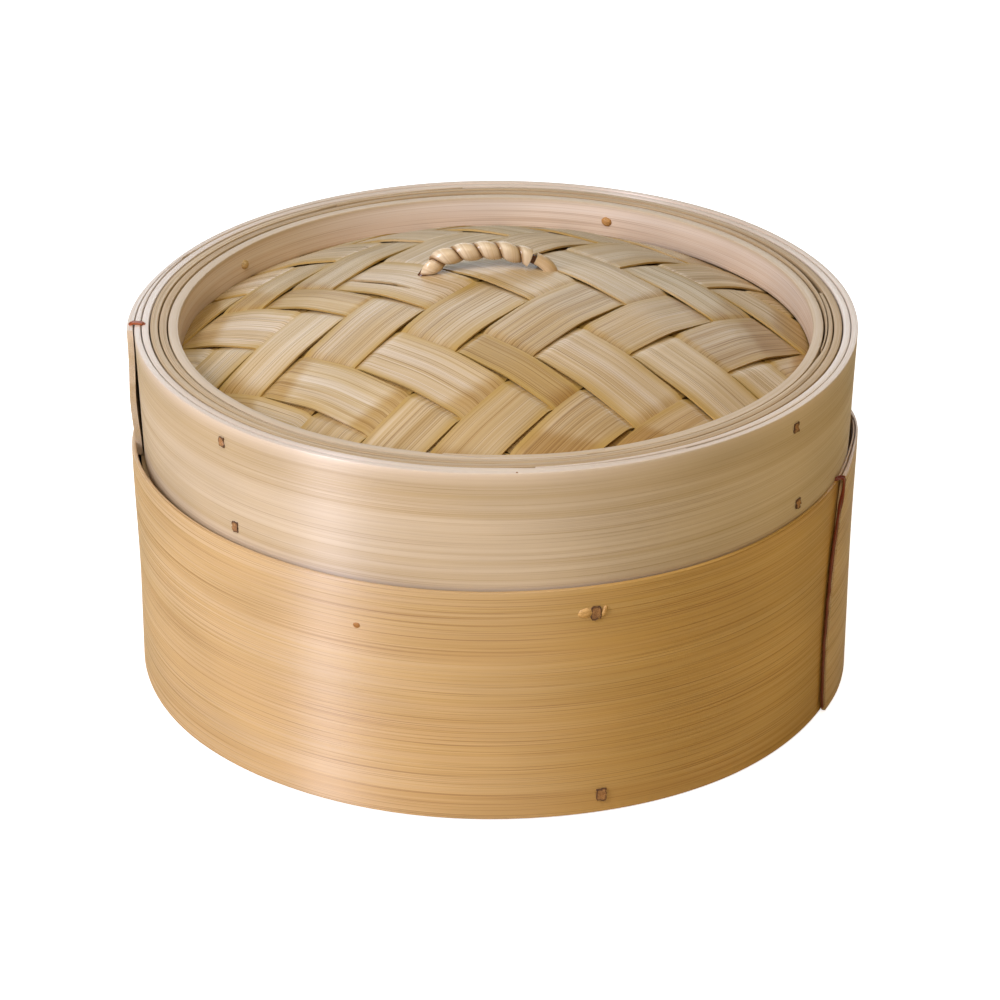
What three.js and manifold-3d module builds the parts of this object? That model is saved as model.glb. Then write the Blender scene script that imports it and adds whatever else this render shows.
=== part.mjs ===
// A round bamboo steamer: a basket with a slatted floor, and a woven domed lid that lifts off it.
// Millimetres, +Z up. The origin is the middle of the face that the basket stands on.
import * as THREE from "three";
import { mergeVertices } from "three/addons/utils/BufferGeometryUtils.js";
import Module from "manifold-3d";

const wasm = await Module();
wasm.setup();

// ---- Clearances -------------------------------------------------------------------------------
const FIT = 0.3; // between pieces that are pegged or pressed together
const LID_PLAY = 0.8; // between the lid and the basket band that it drops into
const THROUGH = 1; // how far a cutting tool runs past what it cuts

// ---- Basket -----------------------------------------------------------------------------------
const BASKET_RADIUS = 125; // outside of the outer band
const BASKET_HEIGHT = 84.5;
const BASKET_BAND = 1.6; // outer band's thickness
const MIDDLE_BAND = 4.5;
const SEAT_BAND = 4;
const LID_DEPTH = 5; // how deep the lid drops into the outer band
const FOOT_HEIGHT = 14; // the foot band, which carries the floor
const SLAT_WIDTH = 22;
const STEAM_GAP = 6; // between two slats
const SLAT_THICKNESS = 3.4;
const BATTEN_SPREAD = 104; // between the two battens' middles
const BATTEN_WIDTH = 12;
const BATTEN_THICKNESS = 5;

// ---- Lid rim ----------------------------------------------------------------------------------
const LID_RIM_HEIGHT = 47.2;
const LID_OUTER_BAND = 4.8;
const PACKING_OUTER = 2.5;
const PACKING_INNER = 2.4;
const LID_INNER_BAND = 3.3;
const DOME_DROP = 14.2; // from the rim's top down to the dome's edge at the inner band

// ---- Woven dome -------------------------------------------------------------------------------
const DOME_RISE = 28; // from the dome's edge to its crown
const STRIP_WIDTH = 20.3;
const STRIP_GAP = 1.6; // between two strips that run the same way
const STRIP_THICKNESS = 0.8;
const WEAVE_TURN = -39.5; // degrees from +X to the first family of strips
const WEAVE_SHIFT = -3; // where the lattice's middle lies, along both families
const LINING_THICKNESS = 1.2;

// ---- Handle -----------------------------------------------------------------------------------
const HANDLE_SPAN = 42.8; // between the two feet's middles
const HANDLE_PLACE = new THREE.Vector2(-2.7, 5.5);
const HANDLE_TURN = 6.7; // degrees from +X
const FINGER_GAP = 4.6; // between the weave and the underside of the wrapping
const CORE_RADIUS = 1.7;
const WRAP_THICKNESS = 0.9;
const WRAP_WIDTH = 6.4;
const WRAP_PITCH = 7.2;
const WRAP_TURNS = 5;
const FOOT_TAIL = 3; // how far a foot comes out under the lining

// ---- Laps, pegs and lacing --------------------------------------------------------------------
const SCARF_TIP = 0.5; // how thin a band's end is shaved where it lies under or in a lap
const PACKING_LAP = 24; // degrees
const BASKET_LAP = { end: -21.6, turn: -1, lap: 24, rise: 1.4, endThickness: 1.7, slant: 5.7 };
const LID_LAP = { end: 186, turn: 1, lap: 30, rise: 0.4, endThickness: 1.4, slant: 0 };
const BASKET_PEG = 4; // side of the square section
const BASKET_PEG_ANGLES = { upper: [-74.7, 16, 106, 170], lower: [-73.5, 16, 106, 170] };
const BASKET_PEG_DROP = 4.3; // from the lid's seat down to the upper pegs
const BASKET_PEG_HEIGHT = 6.8; // the lower pegs, above the foot
const LID_PEG = 3;
const LID_PEG_ANGLES = { upper: [-136, -37.6, 68, 146], lower: [-134.1, -35.3, 66, 148] };
const LID_PEG_DROP = 7; // from the rim's top down to the upper pegs
const LID_PEG_HEIGHT = 10.2; // the lower pegs, above the lid's bottom
const PEG_PROUD = 0.4; // how far a peg stands out of the outer band
const LACING_THICKNESS = 0.8;
const LACING_WIDTH = 4;
const LACING_LEG = 6; // how far the lid's lacing reaches down each side of its band
const LACING_SETBACK = 2.5; // degrees, from the lid's lap back to its lacing
const CORD_RADIUS = 0.8; // the basket's lacing, which runs down the lap
const ROUND_STEP = 6; // degrees between the corners of a bent band

// ---- Sizes that follow from those ---------------------------------------------------------------
const radians = THREE.MathUtils.degToRad;

const basketInside = BASKET_RADIUS - BASKET_BAND;
const middleInside = basketInside - FIT - MIDDLE_BAND;
const seatInside = middleInside - FIT - SEAT_BAND;
const seatHeight = BASKET_HEIGHT - LID_DEPTH;
const slatBottom = FOOT_HEIGHT + FIT;
const slatTop = slatBottom + SLAT_THICKNESS;
const slatRadius = middleInside - FIT; // the slats' ends lie between the seat band and the foot band
const slatSpacing = SLAT_WIDTH + STEAM_GAP;
const slatCount = Math.floor((2 * slatRadius + STEAM_GAP) / slatSpacing);

const lidRadius = basketInside - LID_PLAY;
const lidInside = lidRadius - LID_OUTER_BAND;
const packingOuterInside = lidInside - FIT - PACKING_OUTER;
const packingInnerInside = packingOuterInside - FIT - PACKING_INNER;
const rimInside = packingInnerInside - FIT - LID_INNER_BAND;
const lidBottom = seatHeight + FIT;
const lidTop = lidBottom + LID_RIM_HEIGHT;

const weaveRadius = packingInnerInside - FIT; // the strips' ends lie between the two inner bands
const stripPitch = STRIP_WIDTH + STRIP_GAP;
const stripCount = Math.floor((2 * weaveRadius) / stripPitch); // each way
const layerStep = STRIP_THICKNESS + FIT; // from a strip's middle to the middle of the one it crosses
const weaveHalf = (layerStep + STRIP_THICKNESS) / 2;
const domeEdge = lidTop - DOME_DROP;
const domeCurve = DOME_RISE / rimInside ** 2;
const domeHeight = (x, y) => domeEdge + DOME_RISE - domeCurve * (x * x + y * y);
const stripSag = 2 * domeCurve * (STRIP_WIDTH / 2) ** 2; // a flat crossing lies this far under the dome
const liningDrop = weaveHalf + stripSag + FIT;

const coreHeight = domeHeight(0, 0) + weaveHalf + FINGER_GAP + WRAP_THICKNESS + FIT + CORE_RADIUS;
const footHeight = domeHeight(HANDLE_SPAN / 2, 0) - liningDrop - LINING_THICKNESS - FOOT_TAIL;

// ---- Materials --------------------------------------------------------------------------------
const bamboo = (color, roughness = 0.6) =>
  new THREE.MeshStandardMaterial({ color, roughness, metalness: 0 });

const finishes = {
  basketBand: bamboo(0xcfae7c, 0.5),
  lidBand: bamboo(0xdcc3a2, 0.55),
  packing: bamboo(0xc0a882, 0.65),
  innerBand: bamboo(0xd9cdbb, 0.6),
  strip: bamboo(0xcbb98e, 0.55),
  lining: bamboo(0xc3ac7e, 0.7),
  slat: bamboo(0xc9ac78, 0.65),
  peg: bamboo(0x8a6248, 0.7),
  rattan: bamboo(0xdcb884, 0.35),
  lacing: bamboo(0x6b2a16, 0.45),
};

// ---- Solids -----------------------------------------------------------------------------------
const part = new THREE.Group();
const basket = new THREE.Group();
const lid = new THREE.Group();
part.add(basket, lid);

function addPiece(parent, name, geometry, finish) {
  const mesh = new THREE.Mesh(geometry, finish.clone());
  mesh.name = name;
  parent.add(mesh);
  return mesh;
}

function solidOf(geometry) {
  const bare = geometry.clone();
  bare.deleteAttribute("normal");
  bare.deleteAttribute("uv");
  const merged = mergeVertices(bare, 1e-4);
  return new wasm.Manifold(
    new wasm.Mesh({
      numProp: 3,
      vertProperties: new Float32Array(merged.attributes.position.array),
      triVerts: new Uint32Array(merged.index.array),
    }),
  );
}

function geometryOf(solid) {
  const mesh = solid.getMesh();
  const geometry = new THREE.BufferGeometry();
  geometry.setAttribute("position", new THREE.BufferAttribute(mesh.vertProperties, 3));
  geometry.setIndex(new THREE.BufferAttribute(mesh.triVerts, 1));
  geometry.computeVertexNormals();
  return geometry;
}

// A tool's solid in the frame of the piece that it works on.
function toolIn(piece, tool) {
  piece.updateWorldMatrix(true, false);
  tool.updateWorldMatrix(true, false);
  const place = piece.matrixWorld.clone().invert().multiply(tool.matrixWorld);
  return solidOf(tool.geometry.clone().applyMatrix4(place));
}

function cutAway(piece, tools) {
  const cut = tools.reduce((solid, tool) => solid.subtract(toolIn(piece, tool)), solidOf(piece.geometry));
  piece.geometry = geometryOf(cut);
}

function keepInside(piece, tool) {
  piece.geometry = geometryOf(solidOf(piece.geometry).intersect(toolIn(piece, tool)));
}

// Moves each corner of a plain block to where shape(x, y, z) puts it.
function bend(geometry, shape) {
  const corners = geometry.attributes.position;
  for (let i = 0; i < corners.count; i++) {
    const [x, y, z] = shape(corners.getX(i), corners.getY(i), corners.getZ(i));
    corners.setXYZ(i, x, y, z);
  }
  geometry.computeVertexNormals();
  return geometry;
}

// ---- Bands ------------------------------------------------------------------------------------
// A flat strip bent into a hoop. Its shaved first end lies inside; the strip runs once round and then
// over that end, as far as the angle `end`. `turn` is 1 or -1, the way it runs round +Z. `rise` is how
// far its last end stands proud of the hoop, and `slant` how many degrees that end leans over its height.
function bentBand({ inside, thickness, bottom, top, end, turn, lap, rise, endThickness, slant }) {
  const run = 360 + lap;
  const underAtEnd = thickness + rise - FIT - endThickness;
  const taper = (underAtEnd - SCARF_TIP) / lap;
  const under = (along) => Math.min(thickness, SCARF_TIP + taper * along);
  const innerLift = (along) => {
    if (along >= 360) return under(along - 360) + FIT;
    return Math.max(0, (along - 360 + ROUND_STEP) / ROUND_STEP) * (SCARF_TIP + FIT);
  };
  const outerLift = (along) => {
    if (along < 360) return under(along);
    return thickness + rise * THREE.MathUtils.smoothstep(along, 360, run);
  };
  const block = new THREE.BoxGeometry(run, 1, 1, Math.round(run / ROUND_STEP), 1, 1);
  return bend(block, (x, y, z) => {
    const straight = x + run / 2;
    const onLap = Math.max(0, (straight - 360) / lap);
    const along = straight + turn * slant * z * onLap;
    const isOuter = y * turn < 0;
    const radius = inside + (isOuter ? outerLift(along) : innerLift(along));
    const angle = radians(end + turn * (along - run));
    return [radius * Math.cos(angle), radius * Math.sin(angle), z > 0 ? top : bottom];
  });
}

// A hoop whose two shaved ends lie flush on each other.
const flushLap = (end, turn = 1) => ({
  end,
  turn,
  lap: PACKING_LAP,
  rise: 0,
  endThickness: SCARF_TIP,
  slant: 0,
});

const basketBands = {
  outer: addPiece(
    basket,
    "basket_outer_band",
    bentBand({
      inside: basketInside,
      thickness: BASKET_BAND,
      bottom: 0,
      top: BASKET_HEIGHT,
      ...BASKET_LAP,
    }),
    finishes.basketBand,
  ),
  middle: addPiece(
    basket,
    "basket_middle_band",
    bentBand({
      inside: middleInside,
      thickness: MIDDLE_BAND,
      bottom: 0,
      top: seatHeight,
      ...flushLap(60),
    }),
    finishes.packing,
  ),
  seat: addPiece(
    basket,
    "basket_seat_band",
    bentBand({
      inside: seatInside,
      thickness: SEAT_BAND,
      bottom: slatTop + FIT,
      top: seatHeight,
      ...flushLap(150),
    }),
    finishes.innerBand,
  ),
  foot: addPiece(
    basket,
    "basket_foot_band",
    bentBand({
      inside: seatInside,
      thickness: SEAT_BAND,
      bottom: 0,
      top: FOOT_HEIGHT,
      ...flushLap(240),
    }),
    finishes.innerBand,
  ),
};

const lidBands = {
  outer: addPiece(
    lid,
    "lid_outer_band",
    bentBand({
      inside: lidInside,
      thickness: LID_OUTER_BAND,
      bottom: lidBottom,
      top: lidTop,
      ...LID_LAP,
    }),
    finishes.lidBand,
  ),
  packingOuter: addPiece(
    lid,
    "lid_packing_outer",
    bentBand({
      inside: packingOuterInside,
      thickness: PACKING_OUTER,
      bottom: lidBottom,
      top: lidTop,
      ...flushLap(96, -1),
    }),
    finishes.packing,
  ),
  packingInner: addPiece(
    lid,
    "lid_packing_inner",
    bentBand({
      inside: packingInnerInside,
      thickness: PACKING_INNER,
      bottom: lidBottom,
      top: lidTop,
      ...flushLap(10),
    }),
    finishes.packing,
  ),
  inner: addPiece(
    lid,
    "lid_inner_band",
    bentBand({
      inside: rimInside,
      thickness: LID_INNER_BAND,
      bottom: domeEdge + weaveHalf + FIT,
      top: lidTop,
      ...flushLap(-75),
    }),
    finishes.innerBand,
  ),
  clamp: addPiece(
    lid,
    "lid_clamp_band",
    bentBand({
      inside: rimInside,
      thickness: LID_INNER_BAND,
      bottom: lidBottom,
      top: domeHeight(weaveRadius, 0) - liningDrop - LINING_THICKNESS - FIT,
      ...flushLap(-60),
    }),
    finishes.innerBand,
  ),
};

// ---- Basket floor -----------------------------------------------------------------------------
const floorTrim = new THREE.Mesh(
  new THREE.CylinderGeometry(slatRadius, slatRadius, BASKET_HEIGHT, 360 / ROUND_STEP).rotateX(Math.PI / 2),
);

for (let i = 0; i < slatCount; i++) {
  const slat = addPiece(
    basket,
    `floor_slat_${i + 1}`,
    new THREE.BoxGeometry(2 * BASKET_RADIUS, SLAT_WIDTH, SLAT_THICKNESS),
    finishes.slat,
  );
  slat.position.set(0, (i - (slatCount - 1) / 2) * slatSpacing, slatBottom + SLAT_THICKNESS / 2);
  keepInside(slat, floorTrim);
}

const battens = [-1, 1].map((side, i) => {
  const batten = addPiece(
    basket,
    `floor_batten_${i + 1}`,
    new THREE.BoxGeometry(BATTEN_WIDTH, 2 * BASKET_RADIUS, BATTEN_THICKNESS),
    finishes.slat,
  );
  batten.position.set((side * BATTEN_SPREAD) / 2, 0, FOOT_HEIGHT - BATTEN_THICKNESS / 2);
  keepInside(batten, floorTrim);
  return batten;
});

// The foot band is notched from its top for the battens' ends.
const notches = battens.map((batten) => {
  const notch = new THREE.Mesh(
    new THREE.BoxGeometry(BATTEN_WIDTH + 2 * FIT, 2 * BASKET_RADIUS, BATTEN_THICKNESS + FIT + THROUGH),
  );
  notch.position.copy(batten.position);
  notch.position.z += (THROUGH - FIT) / 2;
  return notch;
});

// ---- Pegs -------------------------------------------------------------------------------------
// A square peg lies along a radius and holds every band that it passes.
function drivePegs({ parent, prefix, angles, heights, side, from, to, bandsAt, depthAt }) {
  for (const [row, height] of Object.entries(heights)) {
    const holes = angles[row].map((angle, i) => {
      const outerEnd = to + PEG_PROUD;
      const middle = (from + outerEnd) / 2;
      const place = new THREE.Vector3(
        middle * Math.cos(radians(angle)),
        middle * Math.sin(radians(angle)),
        height,
      );
      const peg = addPiece(
        parent,
        `${prefix}_${row}_${i + 1}`,
        new THREE.BoxGeometry(outerEnd - from, side, side),
        finishes.peg,
      );
      peg.position.copy(place);
      peg.rotation.z = radians(angle);
      const hole = new THREE.Mesh(
        new THREE.BoxGeometry(outerEnd - from + 2 * depthAt, side + 2 * FIT, side + 2 * FIT),
      );
      hole.position.copy(place);
      hole.rotation.z = radians(angle);
      return hole;
    });
    for (const band of bandsAt[row]) cutAway(band, holes);
  }
}

drivePegs({
  parent: basket,
  prefix: "basket_peg",
  angles: BASKET_PEG_ANGLES,
  heights: { upper: seatHeight - BASKET_PEG_DROP, lower: BASKET_PEG_HEIGHT },
  side: BASKET_PEG,
  from: seatInside,
  to: BASKET_RADIUS,
  depthAt: THROUGH + BASKET_LAP.rise,
  bandsAt: {
    upper: [basketBands.outer, basketBands.middle, basketBands.seat],
    lower: [basketBands.outer, basketBands.middle, basketBands.foot],
  },
});
cutAway(basketBands.foot, notches);

drivePegs({
  parent: lid,
  prefix: "lid_peg",
  angles: LID_PEG_ANGLES,
  heights: { upper: lidTop - LID_PEG_DROP, lower: lidBottom + LID_PEG_HEIGHT },
  side: LID_PEG,
  from: rimInside,
  to: lidRadius,
  depthAt: THROUGH,
  bandsAt: {
    upper: [lidBands.outer, lidBands.packingOuter, lidBands.packingInner, lidBands.inner],
    lower: [lidBands.outer, lidBands.packingOuter, lidBands.packingInner, lidBands.clamp],
  },
});

// ---- Handle -----------------------------------------------------------------------------------
// A half ellipse with a straight leg under each end, in the plane of X and Z.
class ArchCurve extends THREE.Curve {
  constructor(span, footZ, springZ, crownZ) {
    super();
    this.halfSpan = span / 2;
    this.footZ = footZ;
    this.springZ = springZ;
    this.crownZ = crownZ;
    this.legShare = 0.12;
  }

  getPoint(t, target = new THREE.Vector3()) {
    const { halfSpan, footZ, springZ, crownZ, legShare } = this;
    if (t < legShare) return target.set(-halfSpan, 0, THREE.MathUtils.lerp(footZ, springZ, t / legShare));
    if (t > 1 - legShare) {
      return target.set(halfSpan, 0, THREE.MathUtils.lerp(springZ, footZ, (t - 1 + legShare) / legShare));
    }
    const turn = (Math.PI * (t - legShare)) / (1 - 2 * legShare);
    return target.set(-halfSpan * Math.cos(turn), 0, springZ + (crownZ - springZ) * Math.sin(turn));
  }
}

const handle = new THREE.Group();
handle.position.set(HANDLE_PLACE.x, HANDLE_PLACE.y, 0);
handle.rotation.z = radians(HANDLE_TURN);
lid.add(handle);

const springHeight = domeHeight(HANDLE_SPAN / 2, 0);
const arch = new ArchCurve(HANDLE_SPAN, footHeight, springHeight, coreHeight);

const roundSection = (radius, sides = 8) => {
  const corners = Array.from({ length: sides }, (_, i) => {
    const angle = (2 * Math.PI * (i + 0.5)) / sides;
    return new THREE.Vector2(radius * Math.cos(angle), radius * Math.sin(angle));
  });
  return new THREE.Shape(corners);
};
const caneAlong = (curve, radius, steps) =>
  new THREE.ExtrudeGeometry(roundSection(radius), { steps, extrudePath: curve, bevelEnabled: false });

addPiece(handle, "handle_core", caneAlong(arch, CORE_RADIUS, 28), finishes.rattan);

// A flat cane wound round the arch: x runs round it, y along it and z outwards.
const archLength = arch.getLength();
const wrapRun = WRAP_TURNS * WRAP_PITCH;
const wrapStart = (archLength - wrapRun) / 2;
const wrapBlock = new THREE.BoxGeometry(1, WRAP_WIDTH, WRAP_THICKNESS, WRAP_TURNS * 12, 1, 1);
const wrap = bend(wrapBlock, (x, y, z) => {
  const share = x + 0.5;
  const place = (wrapStart + wrapRun * share + y) / archLength;
  const middle = arch.getPointAt(place);
  const tangent = arch.getTangentAt(place);
  const round = 2 * Math.PI * WRAP_TURNS * share;
  const radius = CORE_RADIUS + FIT + WRAP_THICKNESS / 2 + z;
  return [
    middle.x - radius * Math.cos(round) * tangent.z,
    middle.y - radius * Math.sin(round),
    middle.z + radius * Math.cos(round) * tangent.x,
  ];
});
addPiece(handle, "handle_wrap", wrap, finishes.rattan);

// The feet pass through the weave and its lining, in holes as long as their legs.
const footHoles = [-1, 1].map((side) => {
  const length = coreHeight - footHeight + 2 * THROUGH;
  const radius = CORE_RADIUS + FIT;
  const hole = new THREE.Mesh(new THREE.CylinderGeometry(radius, radius, length, 12).rotateX(Math.PI / 2));
  hole.position.set((side * HANDLE_SPAN) / 2, 0, (coreHeight + footHeight) / 2);
  handle.add(hole);
  hole.updateWorldMatrix(true, false);
  hole.geometry.applyMatrix4(hole.matrixWorld);
  handle.remove(hole);
  hole.position.set(0, 0, 0);
  return hole;
});

// ---- Woven dome -------------------------------------------------------------------------------
const weave = new THREE.Group();
weave.rotation.z = radians(WEAVE_TURN);
lid.add(weave);

const weaveTrim = new THREE.Mesh(
  new THREE.CylinderGeometry(weaveRadius, weaveRadius, 4 * lidTop, 360 / ROUND_STEP).rotateX(Math.PI / 2),
);
const stripPlace = (index) => (index - (stripCount - 1) / 2) * stripPitch + WEAVE_SHIFT;

// A twill: each strip goes over two and under two, and the next one steps one strip along.
const TWILL = [true, false, false, true];
const firstIsOver = (first, second) => TWILL[(second - first + stripCount * 4) % 4];

// A strip lies along its own X at `offset` in Y. `crossings` gives, in order along X, where each strip
// that it crosses lies and whether this one goes over it. It steps up and down between those strips.
function wovenStrip(offset, crossings) {
  const reach = weaveRadius + THROUGH;
  const edges = crossings.flatMap(({ place, over }) => [
    { x: place - STRIP_WIDTH / 2, over },
    { x: place + STRIP_WIDTH / 2, over },
  ]).filter(({ x }) => Math.abs(x) < reach);
  const stops = [{ ...edges[0], x: -reach }, ...edges, { ...edges[edges.length - 1], x: reach }];
  const middle = stops.map(({ x, over }) => [x, domeHeight(x, 0) + (over ? layerStep : -layerStep) / 2]);
  const side = new THREE.Shape([
    ...middle.map(([x, z]) => new THREE.Vector2(x, z - STRIP_THICKNESS / 2)),
    ...middle.reverse().map(([x, z]) => new THREE.Vector2(x, z + STRIP_THICKNESS / 2)),
  ]);
  const strip = new THREE.ExtrudeGeometry(side, { depth: STRIP_WIDTH, steps: 1, bevelEnabled: false });
  strip.rotateX(Math.PI / 2).translate(0, STRIP_WIDTH / 2 + offset, 0);
  return bend(strip, (x, y, z) => [x, y, z - domeCurve * y * y]);
}

const indices = Array.from({ length: stripCount }, (_, i) => i);
for (const first of indices) {
  const crossings = indices.map((second) => ({
    place: stripPlace(second),
    over: firstIsOver(first, second),
  }));
  const strip = addPiece(
    weave,
    `weave_strip_a${first + 1}`,
    wovenStrip(stripPlace(first), crossings),
    finishes.strip,
  );
  keepInside(strip, weaveTrim);
  cutAway(strip, footHoles);
}
for (const second of indices) {
  const crossings = indices.map((first) => ({
    place: stripPlace(first),
    over: !firstIsOver(first, second),
  }));
  const strip = addPiece(
    weave,
    `weave_strip_b${second + 1}`,
    wovenStrip(-stripPlace(second), crossings),
    finishes.strip,
  );
  strip.rotation.z = Math.PI / 2;
  keepInside(strip, weaveTrim);
  cutAway(strip, footHoles);
}

// The lining mat under the strips, a thin dome that lies between the two inner bands like them.
const LINING_RINGS = 8;
const liningRadii = Array.from({ length: LINING_RINGS + 1 }, (_, i) => (weaveRadius * i) / LINING_RINGS);
const liningTop = (r) => domeHeight(r, 0) - liningDrop;
const liningProfile = [
  ...liningRadii.map((r) => new THREE.Vector2(r, liningTop(r) - LINING_THICKNESS)),
  ...liningRadii.reverse().map((r) => new THREE.Vector2(r, liningTop(r))),
];
const lining = addPiece(
  lid,
  "lid_lining",
  new THREE.LatheGeometry(liningProfile, 48).rotateX(Math.PI / 2),
  finishes.lining,
);
cutAway(lining, footHoles);

// ---- Lacing -----------------------------------------------------------------------------------
// A strap over the lid's top edge beside the lap: a leg on each side of the outer band and a bridge.
function rimStrap(grow) {
  const thickness = LACING_THICKNESS + 2 * grow;
  const outside = lidRadius + LID_LAP.rise + LACING_THICKNESS + FIT + grow;
  const inside = outside - LID_OUTER_BAND - LID_LAP.rise - 2 * LACING_THICKNESS - 2 * FIT - 2 * grow;
  const top = lidTop + LACING_THICKNESS + grow;
  const bottom = lidTop - LACING_LEG - grow;
  const outline = new THREE.Shape([
    new THREE.Vector2(inside, bottom),
    new THREE.Vector2(inside + thickness, bottom),
    new THREE.Vector2(inside + thickness, top - thickness),
    new THREE.Vector2(outside - thickness, top - thickness),
    new THREE.Vector2(outside - thickness, bottom),
    new THREE.Vector2(outside, bottom),
    new THREE.Vector2(outside, top),
    new THREE.Vector2(inside, top),
  ]);
  const width = LACING_WIDTH + 2 * grow;
  return new THREE.ExtrudeGeometry(outline, { depth: width, steps: 1, bevelEnabled: false })
    .rotateX(Math.PI / 2)
    .translate(0, width / 2, 0);
}
const LID_LACING_ANGLE = LID_LAP.end - LACING_SETBACK;
const lidLacing = addPiece(lid, "lid_lacing", rimStrap(0), finishes.lacing);
lidLacing.rotation.z = radians(LID_LACING_ANGLE);
const strapGroove = new THREE.Mesh(rimStrap(FIT));
strapGroove.rotation.z = radians(LID_LACING_ANGLE);
cutAway(lidBands.outer, [strapGroove]);
cutAway(lidBands.packingOuter, [strapGroove]);

// The basket's lacing: a split cane over the top edge and down the outside, close in front of the lap.
const cordRadius = BASKET_RADIUS + FIT + CORD_RADIUS;
const cordAngle = (z) => {
  const lapEnd = radians(BASKET_LAP.end + BASKET_LAP.slant * (z / BASKET_HEIGHT - 0.5));
  return lapEnd - (CORD_RADIUS + 2 * FIT) / BASKET_RADIUS;
};
const cordAt = (radius, z, angle = cordAngle(z)) =>
  new THREE.Vector3(radius * Math.cos(angle), radius * Math.sin(angle), z);
const cordTop = BASKET_HEIGHT + FIT + CORD_RADIUS;
const cordPath = new THREE.CatmullRomCurve3([
  cordAt(basketInside + CORD_RADIUS, cordTop),
  cordAt(BASKET_RADIUS, cordTop),
  cordAt(cordRadius + CORD_RADIUS, cordTop - CORD_RADIUS),
  cordAt(cordRadius + FIT, BASKET_HEIGHT - 3),
  cordAt(cordRadius, BASKET_HEIGHT / 2),
  cordAt(cordRadius, 4),
]);
addPiece(basket, "basket_lacing", caneAlong(cordPath, CORD_RADIUS, 30), finishes.lacing);

export default part;
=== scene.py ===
# %% [markdown]
# # A bamboo steamer with a woven lid
# The maker of a steamer bends planed bamboo strips into hoops, pegs them together, and clamps a woven
# dome between two of them for the lid. This lesson builds the same pieces one by one: hoops, floor, woven
# strips, handle, pegs and lacing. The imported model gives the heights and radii; the looks are added here.

# %% Load the frame
import math

import bmesh
import bpy
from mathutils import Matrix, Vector, noise


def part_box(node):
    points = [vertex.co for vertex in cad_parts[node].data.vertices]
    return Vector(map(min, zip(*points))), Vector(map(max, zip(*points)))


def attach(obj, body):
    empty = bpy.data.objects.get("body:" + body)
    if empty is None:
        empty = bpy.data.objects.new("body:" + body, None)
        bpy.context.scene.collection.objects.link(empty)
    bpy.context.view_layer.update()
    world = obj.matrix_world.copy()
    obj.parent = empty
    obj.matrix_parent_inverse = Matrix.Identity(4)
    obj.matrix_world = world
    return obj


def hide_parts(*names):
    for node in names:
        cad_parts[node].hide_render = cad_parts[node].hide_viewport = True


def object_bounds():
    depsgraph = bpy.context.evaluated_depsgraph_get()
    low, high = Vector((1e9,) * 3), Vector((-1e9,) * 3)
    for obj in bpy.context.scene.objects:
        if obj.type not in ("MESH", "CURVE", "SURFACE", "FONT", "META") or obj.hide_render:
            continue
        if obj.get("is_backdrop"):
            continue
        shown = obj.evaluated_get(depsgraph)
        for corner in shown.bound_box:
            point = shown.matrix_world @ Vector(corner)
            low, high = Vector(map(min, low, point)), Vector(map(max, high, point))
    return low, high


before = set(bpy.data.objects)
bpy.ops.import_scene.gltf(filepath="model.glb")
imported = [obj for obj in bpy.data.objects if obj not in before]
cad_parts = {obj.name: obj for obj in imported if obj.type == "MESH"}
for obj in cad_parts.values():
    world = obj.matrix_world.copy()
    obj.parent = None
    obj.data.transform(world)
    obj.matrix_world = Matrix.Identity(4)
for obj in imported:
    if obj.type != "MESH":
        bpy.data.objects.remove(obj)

cad_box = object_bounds()
scene = bpy.context.scene
pieces = []              # every piece that this lesson makes, in order
print("frame:", len(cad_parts), "nodes")

# %% [markdown]
# ## Sizes
# A steamer is sized in millimetres, and Blender works in metres, so one factor turns one into the other.
# Heights and the outer radius come from the frame. The thicknesses are those of the real strips: the
# lid's outer band is two plies, then come two packing plies and the pale inner hoop.

# %% Sizes of the hoops
MM = 0.001


def low_mm(node):
    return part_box(node)[0].z / MM


def high_mm(node):
    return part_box(node)[1].z / MM


FIT = 0.3                      # between hoops that are pegged together
LID_PLAY = 0.8                 # between the lid and the band it drops into
BASKET_BAND = 1.6
MIDDLE_BAND = 4.5
SEAT_BAND = 4.0
LID_PLY = 2.25
PACKING_OUTER = 2.5
PACKING_INNER = 2.4
LID_INNER_BAND = 3.3

basket_low, basket_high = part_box("basket_outer_band")
basket_radius = round((basket_high.y - basket_low.y) / 2 / MM)
basket_inside = basket_radius - BASKET_BAND
middle_inside = basket_inside - FIT - MIDDLE_BAND
seat_inside = middle_inside - FIT - SEAT_BAND
lid_radius = basket_inside - LID_PLAY
skin_inside = lid_radius - LID_PLY
core_inside = skin_inside - FIT - LID_PLY
packing_outer_inside = core_inside - FIT - PACKING_OUTER
packing_inner_inside = packing_outer_inside - FIT - PACKING_INNER
rim_inside = packing_inner_inside - FIT - LID_INNER_BAND
basket_top = high_mm("basket_outer_band")
seat_top = high_mm("basket_seat_band")
lid_bottom = low_mm("lid_outer_band")
lid_top = high_mm("lid_outer_band")
print("basket radius", basket_radius, "lid radius", round(lid_radius, 1), "rim inside", round(rim_inside, 1))

# %% [markdown]
# ## Colours and nodes
# Colours are written as they look on a screen and turned to linear light once, in one function. A second
# small function adds one shader node with its settings and its links, so a material reads as a list.

# %% Colour and node helpers


def linear(code):
    """An sRGB colour such as "#dec0a1" as linear RGBA."""
    parts = [int(code[i : i + 2], 16) / 255 for i in (1, 3, 5)]
    return [p / 12.92 if p <= 0.04045 else ((p + 0.055) / 1.055) ** 2.4 for p in parts] + [1.0]


def add_node(tree, kind, sockets=None, **settings):
    """Adds one node. `sockets` gives an input a value, or an output socket to be linked to it."""
    made = tree.nodes.new(kind)
    for name, value in settings.items():
        setattr(made, name, value)
    for name, value in (sockets or {}).items():
        if isinstance(value, bpy.types.NodeSocket):
            tree.links.new(value, made.inputs[name])
        else:
            made.inputs[name].default_value = value
    return made


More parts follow.
